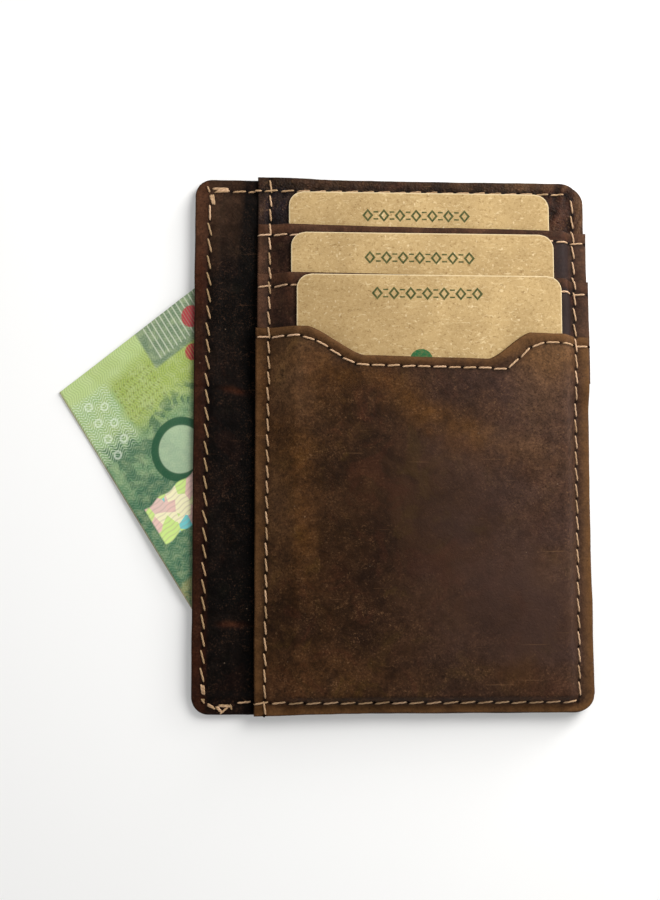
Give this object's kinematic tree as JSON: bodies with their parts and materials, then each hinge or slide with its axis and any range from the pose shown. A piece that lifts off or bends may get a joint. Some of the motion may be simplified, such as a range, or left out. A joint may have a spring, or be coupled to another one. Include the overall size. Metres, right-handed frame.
{
  "type": "minimalist wallet",
  "caption": "Slim leather front-pocket wallet with stacked card slots, a notched front pocket and a side-entry cash pocket, holding cards and a folded note.",
  "frame": {"origin": "centre of the back panel's outer face, which the wallet lies on", "axes": "+X across the wallet to the right as seen from the front, +Y up towards the card mouths, +Z out of the front face, square to the back panel"},
  "size_m": [0.1073, 0.1094, 0.0089],
  "materials": {
    "leather_front": "oiled pull-up, mottled, worn at the edges",
    "leather_strip": "oiled pull-up, reddish dark brown",
    "leather_base": "oiled pull-up, wrinkled grain",
    "leather_dark": "oiled pull-up, smooth, near black-brown",
    "lining": "plain woven, matt",
    "kraft_card": "uncoated kraft",
    "note_paper": "smooth printed note paper",
    "thread": "waxed twisted thread"
  },
  "bodies": {
    "wallet": {"back_panel": "leather_dark", "back_lining": "lining", "middle_lining": "lining", "middle_panel": "leather_dark", "stack_base": "leather_base", "slot_lining_1": "lining", "slot_strip_1": "leather_strip", "slot_lining_2": "lining", "slot_strip_2": "leather_strip", "front_pocket": "leather_front", "left_edge_thread": "thread", "stack_edge_thread": "thread", "perimeter_thread": "thread", "strip_1_hem_thread": "thread", "strip_2_hem_thread": "thread", "front_hem_thread": "thread", "slot_floor_thread_1": "thread", "slot_floor_thread_2": "thread", "corner_tack_top": "thread", "corner_tack_bottom": "thread"},
    "first_card": {"card_1": "kraft_card"},
    "second_card": {"card_2": "kraft_card"},
    "third_card": {"card_3": "kraft_card"},
    "note": {"cash_note": "note_paper"}
  },
  "joints": [
    {"name": "card_1_slide", "type": "slide", "parent": "wallet", "child": "first_card", "axis": [0, 1, 0], "range_m": [0, 0.065]},
    {"name": "card_2_slide", "type": "slide", "parent": "wallet", "child": "second_card", "axis": [0, 0.9999, 0.0157], "range_m": [0, 0.065]},
    {"name": "card_3_slide", "type": "slide", "parent": "wallet", "child": "third_card", "axis": [0, 0.9996, 0.0288], "range_m": [0, 0.065]},
    {"name": "note_slide", "type": "slide", "parent": "wallet", "child": "note", "axis": [-1, 0, 0], "range_m": [0, 0.05]}
  ]
}
